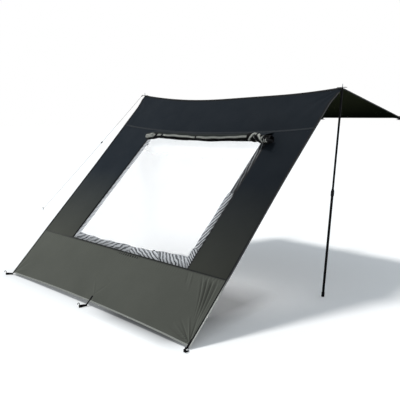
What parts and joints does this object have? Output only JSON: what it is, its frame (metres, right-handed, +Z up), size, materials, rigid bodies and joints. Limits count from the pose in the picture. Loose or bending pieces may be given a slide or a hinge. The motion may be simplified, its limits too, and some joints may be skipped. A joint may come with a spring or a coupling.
{
  "type": "vehicle side awning",
  "caption": "Side awning for a vehicle: roof sheet held by suction pads, sloping wall with a clear window, poles, pegs and a guy line.",
  "frame": {"origin": "centre of the middle suction pad's flat face, on the vehicle's roof", "axes": "+Z up; +X along the ridge; the vehicle stands at +Y, and the wall slopes down towards -Y to the ground at Z -1.70"},
  "size_m": [7.107, 3.7182, 2.2259],
  "materials": {
    "cloth": "woven polyester, PU coated, dark blue-grey",
    "cover": "the flap's inside, light grey coated polyester",
    "binding": "folded polyester binding tape, black",
    "seam": "seam sealing tape, grey",
    "hem": "hem tape, pale grey",
    "webbing": "polyester webbing, black",
    "film": "clear soft PVC film",
    "pole": "satin black painted steel tube",
    "plastic": "moulded black nylon",
    "rubber": "black rubber",
    "steel": "zinc plated steel",
    "cord": "braided cord, light grey"
  },
  "bodies": {
    "canopy": {"roof_panel": "cloth", "roof_hem_rear": "webbing", "roof_hem_left": "binding", "roof_hem_right": "binding", "peak_tab_left": "webbing", "peak_tab_right": "webbing", "eyelet_left": "steel", "eyelet_right": "steel", "guy_line": "cord", "guy_knot": "cord", "strap_left": "webbing", "cup_pad_left": "rubber", "cup_body_left": "plastic", "strap_middle": "webbing", "cup_pad_middle": "rubber", "cup_body_middle": "plastic", "strap_right": "webbing", "cup_pad_right": "rubber", "cup_body_right": "plastic"},
    "wall": {"ridge_tape": "binding", "wall_top_panel": "cloth", "wall_header_panel": "cloth", "wall_left_panel": "cloth", "wall_right_panel": "cloth", "wall_bottom_panel": "cloth", "seam_tape_upper": "seam", "seam_tape_lower": "seam", "edge_binding_left": "binding", "edge_binding_right": "binding", "hem_tape": "hem", "window_film": "film", "edge_loop_left": "webbing", "edge_loop_right": "webbing", "hem_loop_left": "webbing", "hem_loop_middle": "webbing", "hem_loop_right": "webbing"},
    "cover": {"cover_roll": "cover", "cover_web": "cover", "tie_left": "webbing", "tie_middle": "webbing", "tie_right": "webbing"},
    "pole_left": {"pole_tip_left": "steel", "pole_upper_left": "pole"},
    "pole_left_lower": {"pole_lower_left": "pole", "pole_foot_left": "rubber"},
    "collar_left": {"pole_collar_left": "plastic"},
    "pole_right": {"pole_tip_right": "steel", "pole_upper_right": "pole"},
    "pole_right_lower": {"pole_lower_right": "pole", "pole_foot_right": "rubber"},
    "collar_right": {"pole_collar_right": "plastic"},
    "ground_peg_left": {"peg_left": "steel"},
    "ground_peg_middle": {"peg_middle": "steel"},
    "ground_peg_right": {"peg_right": "steel"},
    "line_peg": {"guy_peg": "steel"},
    "runner": {"guy_runner": "plastic"},
    "lever_left": {"cup_lever_left": "plastic"},
    "lever_middle": {"cup_lever_middle": "plastic"},
    "lever_right": {"cup_lever_right": "plastic"}
  },
  "joints": [
    {"name": "wall_swing", "type": "hinge", "parent": "canopy", "child": "wall", "pos_m": [0, -1.7, 0.3], "axis": [-1, 0, 0], "range_deg": [0, 45], "deforming": ["ridge_tape"]},
    {"name": "cover_unroll", "type": "slide", "parent": "wall", "child": "cover", "axis": [0, -0.6847, -0.7288], "range_m": [0, 1.4], "deforming": ["cover_web"]},
    {"name": "pole_swing_left", "type": "hinge", "parent": "canopy", "child": "pole_left", "pos_m": [-1.4865, -1.7, 0.29229], "axis": [1, 0, 0], "range_deg": [-10, 10]},
    {"name": "pole_extend_left", "type": "slide", "parent": "pole_left", "child": "pole_left_lower", "axis": [-0.0763, 0, 0.9971], "range_m": [0, 0.85]},
    {"name": "collar_twist_left", "type": "hinge", "parent": "pole_left_lower", "child": "collar_left", "pos_m": [-1.4865, -1.7, 0.29229], "axis": [-0.0763, 0, 0.9971], "range_deg": [0, 60]},
    {"name": "pole_swing_right", "type": "hinge", "parent": "canopy", "child": "pole_right", "pos_m": [1.4865, -1.7, 0.29229], "axis": [1, 0, 0], "range_deg": [-10, 10]},
    {"name": "pole_extend_right", "type": "slide", "parent": "pole_right", "child": "pole_right_lower", "axis": [0.0763, 0, 0.9971], "range_m": [0, 0.85]},
    {"name": "collar_twist_right", "type": "hinge", "parent": "pole_right_lower", "child": "collar_right", "pos_m": [1.4865, -1.7, 0.29229], "axis": [0.0763, 0, 0.9971], "range_deg": [0, 60]},
    {"name": "peg_pull_left", "type": "slide", "parent": "wall", "child": "ground_peg_left", "axis": [0, 0, 1], "range_m": [0, 0.2]},
    {"name": "peg_pull_middle", "type": "slide", "parent": "wall", "child": "ground_peg_middle", "axis": [0, 0, 1], "range_m": [0, 0.2]},
    {"name": "peg_pull_right", "type": "slide", "parent": "wall", "child": "ground_peg_right", "axis": [0, 0, 1], "range_m": [0, 0.2]},
    {"name": "peg_pull_line", "type": "slide", "parent": "canopy", "child": "line_peg", "axis": [0, 0, 1], "range_m": [0, 0.2]},
    {"name": "runner_slide", "type": "slide", "parent": "canopy", "child": "runner", "axis": [-0.886, 0.146, -0.4401], "range_m": [-0.3, 0.3]},
    {"name": "lever_lift_left", "type": "hinge", "parent": "canopy", "child": "lever_left", "pos_m": [-1.1, 0, 0.0363], "axis": [1, 0, 0], "range_deg": [0, 90]},
    {"name": "lever_lift_middle", "type": "hinge", "parent": "canopy", "child": "lever_middle", "pos_m": [0, 0, 0.0363], "axis": [1, 0, 0], "range_deg": [0, 90]},
    {"name": "lever_lift_right", "type": "hinge", "parent": "canopy", "child": "lever_right", "pos_m": [1.1, 0, 0.0363], "axis": [1, 0, 0], "range_deg": [0, 90]}
  ]
}
